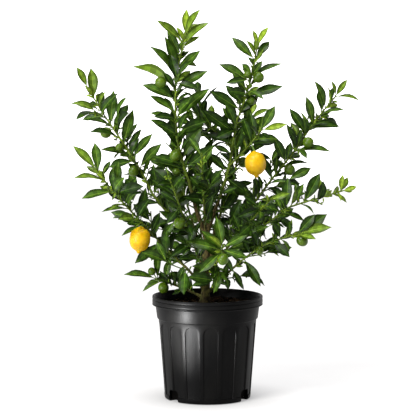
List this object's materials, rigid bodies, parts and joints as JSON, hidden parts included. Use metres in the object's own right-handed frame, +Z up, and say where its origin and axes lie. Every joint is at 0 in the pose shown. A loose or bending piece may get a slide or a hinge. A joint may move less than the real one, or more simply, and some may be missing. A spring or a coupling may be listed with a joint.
{
  "type": "potted citrus tree",
  "caption": "Young multi-stemmed lemon and lime tree with leafy boughs and hanging fruit, standing in a fluted black nursery pot with drain notches.",
  "frame": {"origin": "middle of the pot's flat underside", "axes": "+Z up along the trunk; -Y is the front that the picture shows; +X to its right"},
  "size_m": [0.7224, 0.5352, 0.9642],
  "materials": {
    "pot": "satin black moulded plastic",
    "soil": "dark bark potting mix",
    "bark": "brown to green-brown young bark",
    "foliage": "glossy dark green leaves on green twigs, with yellow lemons and green limes"
  },
  "bodies": {
    "root": {"nursery_pot": "pot", "potting_soil": "soil", "trunk": "bark", "bough_left_low": "bark", "bough_left_high": "bark", "bough_left_leader": "bark", "bough_right_leader": "bark", "bough_right_high": "bark", "bough_right_middle": "bark", "bough_right_low": "bark", "bough_left_lowest": "bark", "bough_front_low": "bark", "bough_front_left": "bark", "bough_front_right": "bark", "bough_front_high": "bark", "bough_back_left": "bark", "bough_back_right": "bark", "bough_back_low": "bark", "bough_back_high": "bark", "foliage_left_low": "foliage", "foliage_left_high": "foliage", "foliage_left_leader": "foliage", "foliage_right_leader": "foliage", "foliage_right_high": "foliage", "foliage_right_middle": "foliage", "foliage_right_low": "foliage", "foliage_left_lowest": "foliage", "foliage_front_low": "foliage", "foliage_front_left": "foliage", "foliage_front_right": "foliage", "foliage_front_high": "foliage", "foliage_back_left": "foliage", "foliage_back_right": "foliage", "foliage_back_low": "foliage", "foliage_back_high": "foliage"}
  },
  "joints": []
}
